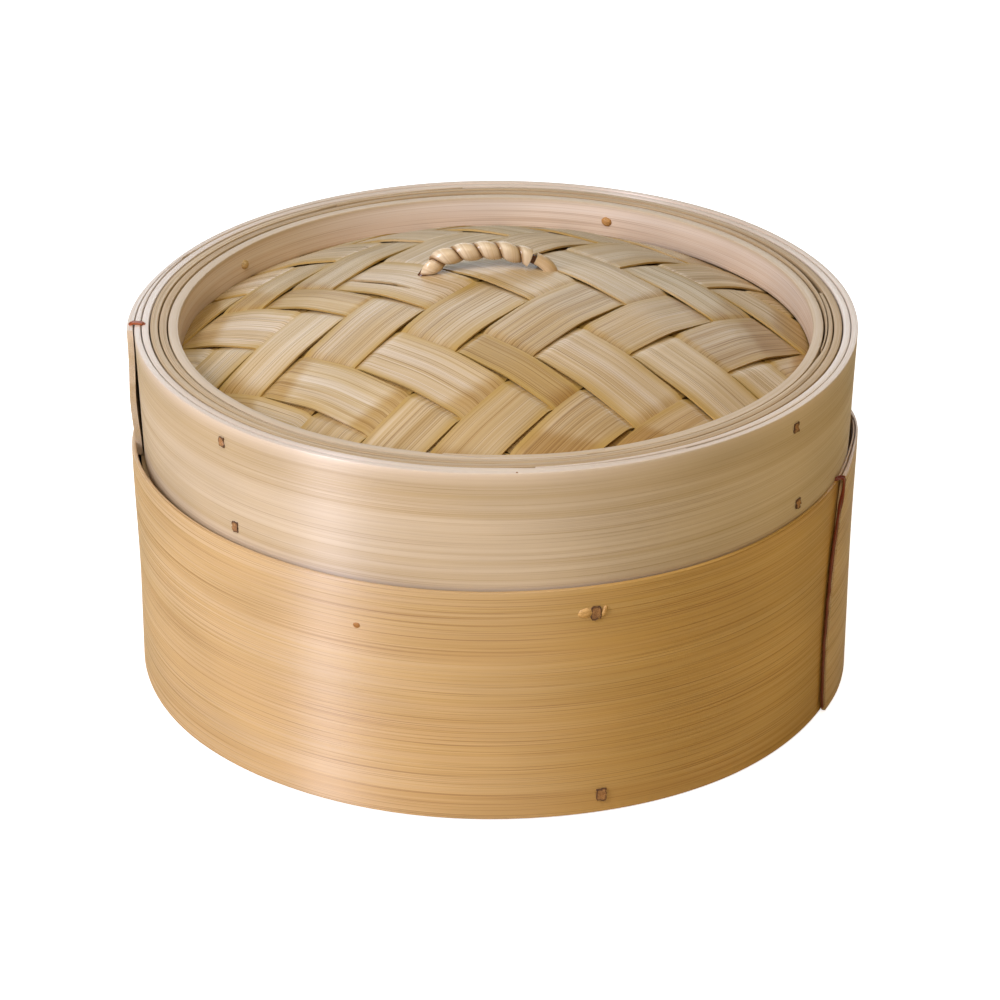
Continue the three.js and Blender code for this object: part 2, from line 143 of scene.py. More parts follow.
MIX_FACTOR, MIX_FIRST, MIX_SECOND, MIX_RESULT = 0, 6, 7, 2      # the colour sockets of a Mix node


def color_mix(tree, factor, first, second, blend="MIX"):
    """Two colours mixed, or blended in another way, by a factor."""
    sockets = {MIX_FACTOR: factor, MIX_FIRST: first, MIX_SECOND: second}
    return add_node(tree, "ShaderNodeMix", sockets, data_type="RGBA", blend_type=blend).outputs[MIX_RESULT]


# %% [markdown]
# ## Split bamboo
# Bamboo is a bundle of long straight fibres. Planed or shaved, it shows fine streaks that run the whole
# length of a strip, broader bands of paler and darker wood, and a silky shine. Every piece carries an
# attribute named grain, in metres: along the fibre, across the face, and through the thickness, as the
# strip was before it was bent. The streaks read it, so they follow each bend. Three more attributes tint
# the wood: tone for a whole piece, edge near its long edges, and dip where it goes down under another.
# The colour in the dips is painted shade, and on some pieces the edge colour is painted shade or a
# painted highlight.

# %% A bamboo material


def streaks(tree, grain, along_mm, across_mm, detail):
    """Noise drawn out along the fibre, from 0 to 1: streaks of about this length and width."""
    scale = (1 / (along_mm * MM), 1 / (across_mm * MM), 1 / (across_mm * MM))
    place = add_node(tree, "ShaderNodeMapping", {"Vector": grain, "Scale": scale})
    sockets = {"Vector": place.outputs[0], "Scale": 1.0, "Detail": detail, "Roughness": 0.6}
    return add_node(tree, "ShaderNodeTexNoise", sockets).outputs["Fac"]


def spread(tree, value, low, high, to_low, to_high):
    """Stretches the part of a value from low to high over another range, and stops at its ends."""
    sockets = {"Value": value, "From Min": low, "From Max": high, "To Min": to_low, "To Max": to_high}
    return add_node(tree, "ShaderNodeMapRange", sockets, interpolation_type="SMOOTHSTEP").outputs["Result"]


THREAD_LENGTH = 260          # millimetres along the fibre before a streak changes
HAIR_LENGTH = 120
BAND_LENGTH = 420
CLOUD_SIZE = (55, 26)        # patches of slightly paler and darker wood


def bamboo(name, pale, middle, deep, line, thread_mm=0.7, band_mm=7.0, contrast=1.0, banding=0.55,
           roughness=0.42, relief_mm=0.04, edge="", dip_shade="", silky=False):
    """Split bamboo from its pale and deep wood, with the colour of its darkest fibre lines.
    The edge colour tints the marked edges, the colour for dips is painted shade where a strip goes
    under another, and a silky face shines across its fibres."""
    material = bpy.data.materials.new(name)
    material.use_nodes = True
    tree = material.node_tree
    tree.nodes.clear()
    grain = add_node(tree, "ShaderNodeAttribute", attribute_name="grain").outputs["Vector"]
    threads = streaks(tree, grain, THREAD_LENGTH, thread_mm, 3.0)
    hairs = streaks(tree, grain, HAIR_LENGTH, thread_mm * 0.45, 2.0)
    bands = streaks(tree, grain, BAND_LENGTH, band_mm, 2.0)
    clouds = streaks(tree, grain, *CLOUD_SIZE, 1.0)
    banded = spread(tree, bands, 0.36, 0.64, 0.6 - 0.6 * banding, 0.6 + 0.4 * banding)
    color = color_mix(tree, banded, linear(deep), linear(pale))
    color = color_mix(tree, spread(tree, threads, 0.42, 0.60, 0.0, 0.75 * contrast), color, linear(middle))
    color = color_mix(tree, spread(tree, hairs, 0.53, 0.68, 0.0, 0.6 * contrast), color, linear(line))
    color = color_mix(tree, spread(tree, hairs, 0.46, 0.34, 0.0, 0.55 * contrast), color, linear(pale))
    shade = spread(tree, clouds, 0.3, 0.7, 0.93, 1.04)
    color = color_mix(tree, 1.0, color, shade, "MULTIPLY")
    tone = add_node(tree, "ShaderNodeAttribute", attribute_name="tone").outputs["Color"]
    color = color_mix(tree, 1.0, color, tone, "MULTIPLY")
    # Where a strip goes down under another, it gets a warm painted shade.
    if dip_shade:
        sunk_shade = add_node(tree, "ShaderNodeAttribute", attribute_name="dip_shade").outputs["Fac"]
        color = color_mix(tree, spread(tree, sunk_shade, 0.1, 1.0, 0.0, 0.8), color, linear(dip_shade), "MULTIPLY")
    # Along the marked edges: partly stain and partly painted shade on the woven strips, painted shade on the
    # pegs and on the handle's binding, and a painted highlight along the top of the lid's outer plies.
    if edge:
        rim = add_node(tree, "ShaderNodeAttribute", attribute_name="edge").outputs["Fac"]
        color = color_mix(tree, spread(tree, rim, 0.62, 1.0, 0.0, 0.85), color, linear(edge))
    gloss = spread(tree, hairs, 0.38, 0.62, roughness - 0.1, roughness + 0.1)
    height = add_node(tree, "ShaderNodeMath", {0: threads, 1: hairs}, operation="ADD").outputs[0]
    bump = add_node(tree, "ShaderNodeBump", {"Height": height, "Distance": relief_mm * MM})
    shader = add_node(
        tree,
        "ShaderNodeBsdfPrincipled",
        {"Base Color": color, "Roughness": gloss, "IOR": 1.6, "Normal": bump.outputs["Normal"]},
    )
    if silky:
        # Fibres run round the hoop, so light spreads across them and draws one tall, upright shine.
        shader.inputs["Anisotropic"].default_value = 0.95
        shader.inputs["Anisotropic Rotation"].default_value = 0.25
        shader.inputs["Specular IOR Level"].default_value = 0.9
    add_node(tree, "ShaderNodeOutputMaterial", {"Surface": shader.outputs["BSDF"]})
    return material


# Planed bamboo of the lid: pinkish cream, with a silky shine. Its paler edge colour is a painted
# highlight along the top of the outer plies.
lid_bamboo = bamboo("planed_bamboo_cream", "#cfbfa9", "#c2ae90", "#b7a07a", "#9b7f5c", roughness=0.5,
                    thread_mm=0.8, band_mm=6.0, contrast=0.75, banding=0.8, edge="#d8c8b6", silky=True)
# Planed bamboo of the basket: older and honey coloured, with browner lines.
basket_bamboo = bamboo("planed_bamboo_honey", "#d3bb9a", "#c8aa7a", "#ba955e", "#8f6632", roughness=0.46,
                       thread_mm=0.8, band_mm=5.0, contrast=1.15, banding=0.4, silky=True)
# Packing plies: raw split edges, a little greyer and rougher.
ply_bamboo = bamboo("split_bamboo_ply", "#c8b391", "#b99f78", "#a4865c", "#7d6240", roughness=0.6,
                    thread_mm=0.5, band_mm=3.0)
# The hoops inside the rim: the palest wood, from the middle of the cane's wall.
inner_bamboo = bamboo("planed_bamboo_pith", "#ebe2d6", "#decdb8", "#ceb394", "#ab8c6c", contrast=0.8,
                      roughness=0.5, edge="#bfa988")
# Shaved strips of the woven dome: pale, with strong straight lines. Their golden edges are partly stain
# and partly painted shade, and the golden colour in the dips is painted warm shade.
strip_bamboo = bamboo("shaved_bamboo_strip", "#dccfb8", "#ccb78e", "#b89c62", "#88693a", thread_mm=0.75,
                      band_mm=4.5, contrast=1.3, banding=0.8, roughness=0.45, relief_mm=0.06,
                      edge="#b5934a", dip_shade="#dcc482")
# The lining mat under the strips.
mat_bamboo = bamboo("woven_bamboo_mat", "#c2a974", "#b09260", "#94763f", "#6d5228", roughness=0.6)
# Planed slats of the floor.
slat_bamboo = bamboo("planed_bamboo_slat", "#d9c49c", "#c9ad7c", "#b5935c", "#8e6c3a", roughness=0.5)
# Whittled pegs: brown end grain. The dark edge colour round each end is painted shade of the gap in
# its hole.
peg_bamboo = bamboo("whittled_bamboo_peg", "#bc8c58", "#966a3e", "#70482a", "#402612", thread_mm=0.45,
                    band_mm=1.4, roughness=0.65, edge="#3c2114")
# Pale fibres torn up where a peg was driven.
torn_bamboo = bamboo("torn_bamboo_fibre", "#e2c795", "#cfae74", "#b08a4e", "#7d5a2c", thread_mm=0.4,
                     band_mm=1.5, roughness=0.6)
# Peeled cane of the handle: hard, honey coloured and glossy. Its brown edge colour is painted shade in
# the creases between the binding's turns.
handle_cane = bamboo("peeled_cane", "#eedfc2", "#e0c8a0", "#ccac7c", "#9a7242", thread_mm=0.6, band_mm=4.0,
                     contrast=0.8, roughness=0.27, edge="#8d6430")
# Stained cane of the basket's lacing, and the lighter strap on the lid.
dark_lacing = bamboo("stained_cane", "#8e3a1c", "#6d2410", "#4a140a", "#2c0a05", thread_mm=0.4,
                     band_mm=2.0, roughness=0.35)
amber_lacing = bamboo("amber_cane", "#bd6636", "#9c4a24", "#743216", "#4c1e0c", thread_mm=0.4, band_mm=2.0,
                      roughness=0.35)
print("materials:", len(bpy.data.materials))

# %% [markdown]
# ## From a flat bar to any piece
# A hoop, a woven strip and a floor slat all start as a flat bar, as they do at the maker's bench. The bar
# is a cube with its long edges rounded by a bevel, cut across so that it can bend. One function then
# writes the attributes from the flat shape and moves each corner to its place on the object.

# %% The flat bar


def cut_rows(bm, axis, places):
    """Cuts every face where its coordinate on `axis` has each of these values."""
    normal = Vector([1.0 if i == axis else 0.0 for i in range(3)])
    for place in places:
        everything = bm.verts[:] + bm.edges[:] + bm.faces[:]
        bmesh.ops.bisect_plane(bm, geom=everything, plane_co=normal * place, plane_no=normal)


def flat_bar(length, depth, height, steps, depth_cuts=(), height_cuts=(), round_by=0.35, segments=2):
    """A bar along X in millimetres, with its long edges rounded, cut into `steps` along its length."""
    bm = bmesh.new()
    bmesh.ops.create_cube(bm, size=1)
    bmesh.ops.scale(bm, vec=(length, depth, height), verts=bm.verts)

    def lengthwise():
        return [e for e in bm.edges if abs(e.verts[0].co.x - e.verts[1].co.x) > length / 2]

    bmesh.ops.bevel(bm, geom=lengthwise(), offset=round_by, segments=segments, profile=0.5,
                    affect="EDGES", material=-1)
    cut_rows(bm, 1, depth_cuts)
    cut_rows(bm, 2, height_cuts)
    bmesh.ops.subdivide_edges(bm, edges=lengthwise(), cuts=steps - 1, use_grid_fill=True)
    return bm


def even_cuts(size, count, inset=0.0):
    """`count` places evenly across a width of `size`, kept `inset` from its edges."""
    half = size / 2 - inset
    return [half * (2 * i / (count - 1) - 1) for i in range(count)]


def no_mark(flat):
    return 0.0


def place_bar(bm, shape, order=(0, 1, 2), offset=0.0, edge=no_mark, dip_shade=no_mark, tone="#ffffff"):
    """Writes the attributes from the flat bar, then moves each corner to shape(x, y, z), in mm.
    `order` says which of the bar's axes run along the fibre, across the face and through the wood.
    `tone` is one colour, or a function of the flat place that gives one."""
    layers = bm.verts.layers
    grain = layers.float_vector.new("grain")
    edges = layers.float.new("edge")
    dip_shades = layers.float.new("dip_shade")
    tones = layers.float_color.new("tone")
    for vert in bm.verts:
        flat = vert.co.copy()
        vert[grain] = Vector([flat[i] * MM + offset for i in order])
        vert[edges] = edge(flat)
        vert[dip_shades] = dip_shade(flat)
        vert[tones] = tone(flat) if callable(tone) else linear(tone)
        vert.co = Vector(shape(flat.x, flat.y, flat.z)) * MM


SHARP_FROM = math.radians(35)      # edges that turn more than this are drawn sharp


def finish_piece(bm, name, body, material, replaced=()):
    """Turns a bmesh into a named object that rides on a body and stands for the given CAD nodes."""
    bm.normal_update()      # the corners have moved, and the next step goes by the faces' own normals
    bmesh.ops.recalc_face_normals(bm, faces=bm.faces)
    mesh = bpy.data.meshes.new(name)
    bm.to_mesh(mesh)
    bm.free()
    mesh.materials.append(material)
    mesh.shade_smooth()
    mesh.set_sharp_from_angle(angle=SHARP_FROM)
    piece = bpy.data.objects.new(name, mesh)
    scene.collection.objects.link(piece)
    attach(piece, body)
    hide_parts(*replaced)
    pieces.append(piece)
    return piece


def wander(seed, place, amount):
    """A smooth offset of up to about `amount`, the same at each run."""
    return amount * noise.noise(Vector((place, seed * 7.31 + 0.5, 0.25)))


def smooth(value):
    value = min(1.0, max(0.0, value))
    return value * value * (3 - 2 * value)


def hump(value, middle, width):
    """1 at the middle, falling smoothly to nothing about two widths away."""
    return math.exp(-(((value - middle) / width) ** 2))


# %% [markdown]
# ## Hoops
# A hoop is one flat strip bent round, with its two ends shaved thin and lapped. On the outer bands the
# last end is left blunt and stands proud, so the eye reads the lap as a step. On the inner hoops the two
# ends lie flush. No real strip is even: its edge wanders by a fraction of a millimetre, the plies of the
# rim spread a little towards the top, and a lap swells where the strip didn't quite take the bend.

# %% A bent band
SCARF_TIP = 0.5          # thickness left at a shaved end
FLUSH_LAP = 24           # degrees
STEP = 1.35              # degrees between two cuts across a band
LEAD_IN = 5.0            # degrees over which the strip rises onto its own start
START_TONE_FROM = 38.0   # degrees from the lap at which the start's own tone begins to fade
START_TONE_TO = 100.0    # and where it is gone


def no_swell(angle, share, over):
    return 0.0


def straight_end(share):
    return 0.0


def bent_band(inside, thickness, bottom, top, end, turn=1, lap=FLUSH_LAP, rise=0.0, end_thickness=SCARF_TIP,
              end_line=straight_end, swell=no_swell, lean=0.0, shift=0.0, seed=0.0, rows=7, ripple=0.25,
              tone="#ffffff", start_tone="#ffffff", rim_fade=6.0):
    """A strip bent into a hoop, ending at the angle `end` in degrees after running over its own start.
    `end_line` and `swell` shift that end and push the hoop outwards, by the share of the height.
    The first part of the strip may have a deeper tone, which fades out further round. The edge mark is 1
    along the top and gone `rim_fade` millimetres lower."""
    run = 360 + lap
    length = math.radians(run) * (inside + thickness / 2)
    height = top - bottom
    round_by = min(0.4, thickness * 0.3)
    bm = flat_bar(length, thickness, height, round(run / STEP), [0.0], even_cuts(height, rows, 1.2),
                  round_by)
    under_at_end = thickness + rise - FIT - end_thickness
    taper = (under_at_end - SCARF_TIP) / lap

    def under(along):
        return min(thickness, SCARF_TIP + taper * along)

    def lifts(along):
        if along >= 360:
            return under(along - 360) + FIT, thickness + rise * smooth((along - 360) / lap)
        return max(0.0, (along - 360 + LEAD_IN) / LEAD_IN) * (SCARF_TIP + FIT), under(along)

    def shape(x, y, z):
        straight = (x / length + 0.5) * run
        share = z / height + 0.5
        along = straight + turn * end_line(share) * max(0.0, (straight - 360) / lap)
        degrees = end + turn * (along - run)
        angle = math.radians(degrees)
        inner, outer = lifts(along)
        radius = inside + inner + (outer - inner) * (y / thickness + 0.5)
        radius += lean * share + swell(degrees % 360, share, along >= 360)
        radius += wander(seed, angle * 1.7 + z * 0.02, ripple * 0.6)
        rim = wander(seed + 3, angle * 2.3, ripple) * abs(2 * z / height)
        return radius * math.cos(angle) + shift, radius * math.sin(angle), bottom + height / 2 + z + rim

    def tone_at(flat):
        from_lap = (flat.x / length + 0.5) * run - lap
        share = smooth((from_lap - START_TONE_TO) / (START_TONE_FROM - START_TONE_TO))
        return [b + (a - b) * share for a, b in zip(linear(start_tone), linear(tone))]

    # On the lid's outer plies this mark carries a painted highlight along the top.
    def rim_mark(flat):
        return max(0.0, 1 - (height / 2 - flat.z) / rim_fade)

    place_bar(bm, shape, order=(0, 2, 1), offset=0.37 * seed, edge=rim_mark, tone=tone_at)
    return bm


# %% [markdown]
# ## The basket's hoops
# The thin outer band is lapped on the right, where it is laced. Two thick hoops lie inside it: the middle
# one runs the full height, and the inner one, cut in two for the floor, makes the seat of the lid.

# %% Basket hoops
BASKET_LAP = -21.6           # angle of the outer band's visible end
BASKET_LAP_LEAN = 5.7        # degrees that this end leans over the band's height
BASKET_LAP_BOW = 2.3         # degrees that it bows back halfway up


def basket_lap_line(share):
    return BASKET_LAP_LEAN * (share - 0.5) - BASKET_LAP_BOW * 4 * share * (1 - share)


def basket_swell(angle, share, over):
    lid_lap = 1.3 * hump(angle, 190, 14)
    start_of_lap = 2.3 * (hump(angle, 3, 9) + hump(angle, 363, 9))
    return (lid_lap + start_of_lap) * smooth((share - 0.35) / 0.65)


# The band is tinted a deeper gold where it starts, from the right round to the front right.
outer = bent_band(basket_inside, BASKET_BAND, 0, basket_top, BASKET_LAP, turn=-1, rise=1.4, end_thickness=1.7,
                  end_line=basket_lap_line, swell=basket_swell, seed=1, ripple=0.3, rows=12,
                  tone="#fffdfa", start_tone="#f0dfa2")
finish_piece(outer, "basket_outer", "basket", basket_bamboo, ["basket_outer_band"])
middle = bent_band(middle_inside, MIDDLE_BAND, 0, seat_top, 60, seed=2)
finish_piece(middle, "basket_middle", "basket", ply_bamboo, ["basket_middle_band"])
seat = bent_band(seat_inside, SEAT_BAND, low_mm("basket_seat_band"), seat_top, 150, seed=3)
finish_piece(seat, "basket_seat", "basket", inner_bamboo, ["basket_seat_band"])
foot = bent_band(seat_inside, SEAT_BAND, 0, high_mm("basket_foot_band"), 240, seed=4, rows=4)
finish_piece(foot, "basket_foot", "basket", inner_bamboo, ["basket_foot_band"])
print("with the basket's hoops:", len(pieces), "pieces")

# %% [markdown]
# ## The lid's hoops
# From outside in: a skin and a core ply, two packing plies and the pale inner hoop, with a clamp hoop under
# the dome. The skin's end, on the left, has sprung away from the ply below it and shows its cut face.

# %% Lid hoops
LID_LAP = 186.0
LID_SHIFT = 0.7        # the lid sits a little to the right in its seat
PRESSED = 0.2          # plies pressed together leave finer lines between them than the fit allows


def lid_lap_swell(angle, share, over):
    return hump(angle, LID_LAP, 6) * (0.25 + 0.85 * hump(share, 0.42, 0.26)) if over else 0.0


def lid_hoop(name, slot, material, node, inside, thickness, bottom, top, end, **looks):
    hoop = bent_band(inside, thickness, bottom, top, end, shift=LID_SHIFT, **looks)
    finish_piece(hoop, name, "lid", material, [node])


lid_hoop("lid_skin", "lid_band", lid_bamboo, "lid_outer_band", skin_inside, LID_PLY, lid_bottom,
         lid_top, LID_LAP, lap=30, rise=2.3, end_thickness=2.1, swell=lid_lap_swell, lean=1.8, seed=5,
         rows=13, rim_fade=16)
lid_hoop("lid_core", "lid_band", lid_bamboo, "lid_outer_band", core_inside, LID_PLY + PRESSED,
         lid_bottom + 0.4, lid_top - 0.2, -60, lean=1.6, seed=6)
lid_hoop("lid_packing_1", "packing_ply", ply_bamboo, "lid_packing_outer", packing_outer_inside,
         PACKING_OUTER + PRESSED, lid_bottom, lid_top - 0.3, 96, turn=-1, lean=1.25, seed=7)
lid_hoop("lid_packing_2", "packing_ply", ply_bamboo, "lid_packing_inner", packing_inner_inside,
         PACKING_INNER + PRESSED, lid_bottom, lid_top - 0.5, 10, lean=0.9, end_thickness=1.1, seed=8)
# The inner hoop is tinted deeper and warmer where it starts, from the front round to the right.
lid_hoop("lid_inner", "inner_band", inner_bamboo, "lid_inner_band", rim_inside,
         LID_INNER_BAND + PRESSED, low_mm("lid_inner_band"), lid_top - 0.7, -75, lean=0.5, seed=9,
         rows=4, start_tone="#ead8b8")
lid_hoop("lid_clamp", "inner_band", inner_bamboo, "lid_clamp_band", rim_inside, LID_INNER_BAND, lid_bottom,
         high_mm("lid_clamp_band"), -60, seed=10, rows=4)
print("with the lid's hoops:", len(pieces), "pieces")

# %% [markdown]
# ## Woven dome
# The dome is a twill of wide shaved strips: each goes over two and under two, and each row steps one strip
# along. The strips were split by hand, so no two have the same width. Each is a grid that is laid over
# the dome, lifted or sunk where it crosses the others, and given its thickness by a Solidify modifier.
# Its boundary edges are marked sharp, so the thin edge catches the light as a crisp line.

# %% The lattice
STRIP_GAP = 1.3
STRIP_THICKNESS = 0.7
STRIP_WIDTHS = {
    "a": (17.5, 20.0, 21.8, 13.2, 24.6, 23.6, 21.5, 20.7, 20.7, 20.0),
    "b": (21.0, 18.2, 18.4, 19.0, 21.8, 22.9, 20.6, 19.0, 21.2, 20.0),
}
FIRST_EDGE = {"a": -109.0, "b": -107.0}      # where each family's first strip begins
WEAVE_TURN = math.radians(-39.5)
TWILL = (True, False, False, True)
LAYER_LIFT = 0.75      # from the dome's middle surface to a strip's middle, over or under
STEP_RUN = 6.0         # how long a strip takes to pass from over to under
FLOAT_ARCH = 0.6       # how far a float bows up over its two strips
CAMBER = 0.12          # how far a strip is crowned across its width

WEAVE_HALF = 0.95      # half the thickness of the crossed strips at the dome's edge
DOME_RISE = 28.0

weave_radius = packing_inner_inside - FIT
dome_edge = low_mm("lid_inner_band") - FIT - WEAVE_HALF


def dome_height(x, y):
    return dome_edge + DOME_RISE * (1 - (x * x + y * y) / rim_inside**2)


def strip_edges(family):
    """(low edge, high edge) of each strip of one family, across the lattice."""
    edges = []
    low = FIRST_EDGE[family]
    for width in STRIP_WIDTHS[family]:
        edges.append((low, low + width))
        low += width + STRIP_GAP
    return edges


EDGES = {family: strip_edges(family) for family in "ab"}


def level_signs(family, own):
    """For each strip that this one crosses, 1 where it goes over and -1 where it goes under."""
    crossed = range(len(EDGES["b" if family == "a" else "a"]))
    over = [TWILL[(k - own if family == "a" else own - k) % 4] == (family == "a") for k in crossed]
    return [1 if o else -1 for o in over]


def lift_along(family, own):
    """Two functions of the distance along a strip: its lift over the dome, and how far it dips, which sets a
    painted shade.
    """
    crossed = EDGES["b" if family == "a" else "a"]
    signs = level_signs(family, own)
    seams = [(crossed[k][1] + crossed[k + 1][0]) / 2 for k in range(len(crossed) - 1)]

    def level(place, run):
        steps = [(b - a) * smooth((place - seam) / run + 0.5) for seam, a, b in zip(seams, signs, signs[1:])]
        return signs[0] + sum(steps)

    def lift(place):
        floats = [hump(place, seam, 11) for seam, a, b in zip(seams, signs, signs[1:]) if a == b == 1]
        return level(place, STEP_RUN) * LAYER_LIFT + sum(floats) * FLOAT_ARCH

    def dip_shade(place):
        return 0.5 - 0.5 * level(place, 2.2 * STEP_RUN)

    return lift, dip_shade


def on_lattice(family, along, across):
    """Plan position of a point `along` a strip and `across` the lattice."""
    u, v = (along, across) if family == "a" else (across, along)
    c, s = math.cos(WEAVE_TURN), math.sin(WEAVE_TURN)
    return u * c - v * s, u * s + v * c


# %% The strips
STRIP_STEPS = 170
STRIP_ROWS = 10
RIPPED = ("a", 4)          # one strip has a long split in its lowest third
RIP = {"row": 3, "start": -50.0, "end": -16.0, "open_by": 1.0}
STRIP_TONES = {
    "a": ("#f6f2ee", "#fdfaf8", "#fdf8f6", "#e2cfa2", "#fbf5f2",
          "#f4ecdf", "#f8f2ea", "#f2ecde", "#ece4d4", "#eae0cc"),
    "b": ("#efe8d8", "#efe8da", "#f2ebdd", "#f6efe4", "#f2e8d8",
          "#f0e6d4", "#efe4d0", "#eaddc4", "#e8dac2", "#e2d0b0"),
}


def rip_strip(bm, width):
    """Splits a strip along one of its rows and parts the two sides into a long lens."""
    row = -width / 2 + width * RIP["row"] / STRIP_ROWS
    length = RIP["end"] - RIP["start"]

    def on_row(vert):
        return abs(vert.co.y - row) < 0.01 and RIP["start"] < vert.co.x < RIP["end"]

    bmesh.ops.split_edges(bm, edges=[e for e in bm.edges if all(on_row(v) for v in e.verts)])
    for vert in [v for v in bm.verts if on_row(v)]:
        share = (vert.co.x - RIP["start"]) / length
        above = all(face.calc_center_median().y > row for face in vert.link_faces)
        vert.co.y += (0.5 if above else -1.5) * RIP["open_by"] * math.sin(math.pi * share) ** 0.8


def woven_strip(family, own):
    low, high = EDGES[family][own]
    width = high - low
    middle = (low + high) / 2
    lift, dip_shade = lift_along(family, own)
    seed = own + (0 if family == "a" else 20)
    bm = bmesh.new()
    bmesh.ops.create_grid(bm, x_segments=STRIP_STEPS, y_segments=STRIP_ROWS, size=0.5)
    bmesh.ops.scale(bm, vec=(2 * weave_radius, width, 1), verts=bm.verts)
    if (family, own) == RIPPED:
        rip_strip(bm, width)
    for edge in bm.edges:
        edge.smooth = not edge.is_boundary

    def shape(x, y, z):
        across = middle + y * (1 + wander(seed, x * 0.02, 0.03)) + wander(seed + 40, x * 0.016, 0.6)
        across = max(-weave_radius + 0.5, min(weave_radius - 0.5, across))
        along = x / weave_radius * math.sqrt(weave_radius**2 - across**2)
        plan_x, plan_y = on_lattice(family, along, across)
        crown = -CAMBER * (2 * y / width) ** 2
        ridges = wander(seed + 60, x * 0.05 + y * 0.03, 0.15) + wander(seed + 80, y * 0.9, 0.08)
        return plan_x, plan_y, dome_height(plan_x, plan_y) + lift(along) + crown + ridges

    # The edge mark is partly stain and partly painted shade, along the edges where neighbouring strips meet
    # this one.
    def stain_and_shade_edge(flat):
        return abs(2 * flat.y / width) * (0.95 + wander(seed + 90, flat.x * 0.03, 0.3))

    # The dip mask carries a painted shade where the strip goes down under the others.
    place_bar(bm, shape, offset=0.31 * seed, edge=stain_and_shade_edge, dip_shade=lambda flat: dip_shade(flat.x),
              tone=STRIP_TONES[family][own])
    name = f"weave_{family}{own + 1}"
    mesh = bpy.data.meshes.new(name)
    bm.to_mesh(mesh)
    bm.free()
    mesh.materials.append(strip_bamboo)
    mesh.shade_smooth()
    strip = bpy.data.objects.new(name, mesh)
    scene.collection.objects.link(strip)
    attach(strip, "lid")
    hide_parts(f"weave_strip_{family}{own + 1}")
    pieces.append(strip)
    solid = strip.modifiers.new("thickness", "SOLIDIFY")
    solid.thickness = STRIP_THICKNESS * MM
    solid.offset = 0


for family in "ab":
    for own in range(len(STRIP_WIDTHS[family])):
        woven_strip(family, own)
print("with the woven strips:", len(pieces), "pieces")

# %% [markdown]
# ## Lining mat
# Under the wide strips lies a mat that keeps the steam in. It is a thin dome: a short profile of points is
# spun round the middle, then thickened by a modifier.

# %% The lining
LINING_DROP = 2.2
LINING_THICKNESS = 1.0
LINING_RINGS = 24
lining = bmesh.new()
radii = [weave_radius * i / LINING_RINGS for i in range(LINING_RINGS + 1)]
profile = [lining.verts.new((r, 0, dome_height(r, 0) - LINING_DROP)) for r in radii]
spokes = [lining.edges.new(pair) for pair in zip(profile, profile[1:])]
bmesh.ops.spin(lining, geom=profile + spokes, cent=(0, 0, 0), axis=(0, 0, 1), angle=math.tau, steps=96,
               use_merge=True)
bmesh.ops.remove_doubles(lining, verts=lining.verts, dist=0.01)
place_bar(lining, lambda x, y, z: (x, y, z), offset=6.0)
mat = finish_piece(lining, "lid_lining_mat", "lid", mat_bamboo, ["lid_lining"])
solid = mat.modifiers.new("thickness", "SOLIDIFY")
solid.thickness = LINING_THICKNESS * MM
solid.offset = -1
print("with the lining:", len(pieces), "pieces")

# %% [markdown]
# ## Floor
# Eight slats and two battens under them make the floor. The slats' ends are clamped between the two inner
# hoops, and the battens' ends sit in notches of the foot hoop. The slats are slightly cupped.

# %% Slats and battens
SLAT_CUP = 0.25
slat_radius = middle_inside - FIT
slats = [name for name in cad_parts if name.startswith("floor_slat_")]


def floor_slat(node, number):
    low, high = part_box(node)
    centre = (low + high) / 2 / MM
    size = (high - low) / MM
    bm = flat_bar(2 * slat_radius, size.y, size.z, 40, even_cuts(size.y, 5, 1.2), (), 0.5)

    def shape(x, y, z):
        across = centre.y + y
        along = x / slat_radius * math.sqrt(slat_radius**2 - across**2)
        return along, across, centre.z + z - SLAT_CUP * (2 * y / size.y) ** 2

    place_bar(bm, shape, offset=0.53 * number)
    finish_piece(bm, f"slat_{number}", "basket", slat_bamboo, [node])


for number, node in enumerate(sorted(slats), 1):
    floor_slat(node, number)
for number in (1, 2):
    low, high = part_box(f"floor_batten_{number}")
    centre = (low + high) / 2 / MM
    size = (high - low) / MM
    bm = flat_bar(size.y, size.x, size.z, 40, [0.0], (), 1.2, 3)
    place_bar(bm, lambda x, y, z: (centre.x + y, centre.y - x, centre.z + z), offset=7 + number)
    finish_piece(bm, f"batten_{number}", "basket", slat_bamboo, [f"floor_batten_{number}"])
print("with the floor:", len(pieces), "pieces")

# %% [markdown]
# ## Pegs
# Each peg is whittled square, driven through the bands from outside and cut off, so its brown end grain
# shows, ragged, with a dark line round it that is painted shade of the gap in its hole. Where a peg was
# forced, pale fibres of the band stand up.
# Inside the lid's rim the lower pegs stand proud. The upper ones are pared flush, so each stops inside the
# inner hoop and a thin pale chip on the hoop's face stands for its cut end.

# %% The pegs
PEG_ENDS = 0.45        # how ragged a cut end is
BASKET_PEG = 4.0
BASKET_PEG_PROUD = 0.45
LID_PEG = 3.1
UPPER_PEG_PROUD = 2.0
LOWER_PEG_PROUD = 0.8
UPPER_PEG_SHORT = 1.0  # how far inside the inner hoop's wood a pared peg ends


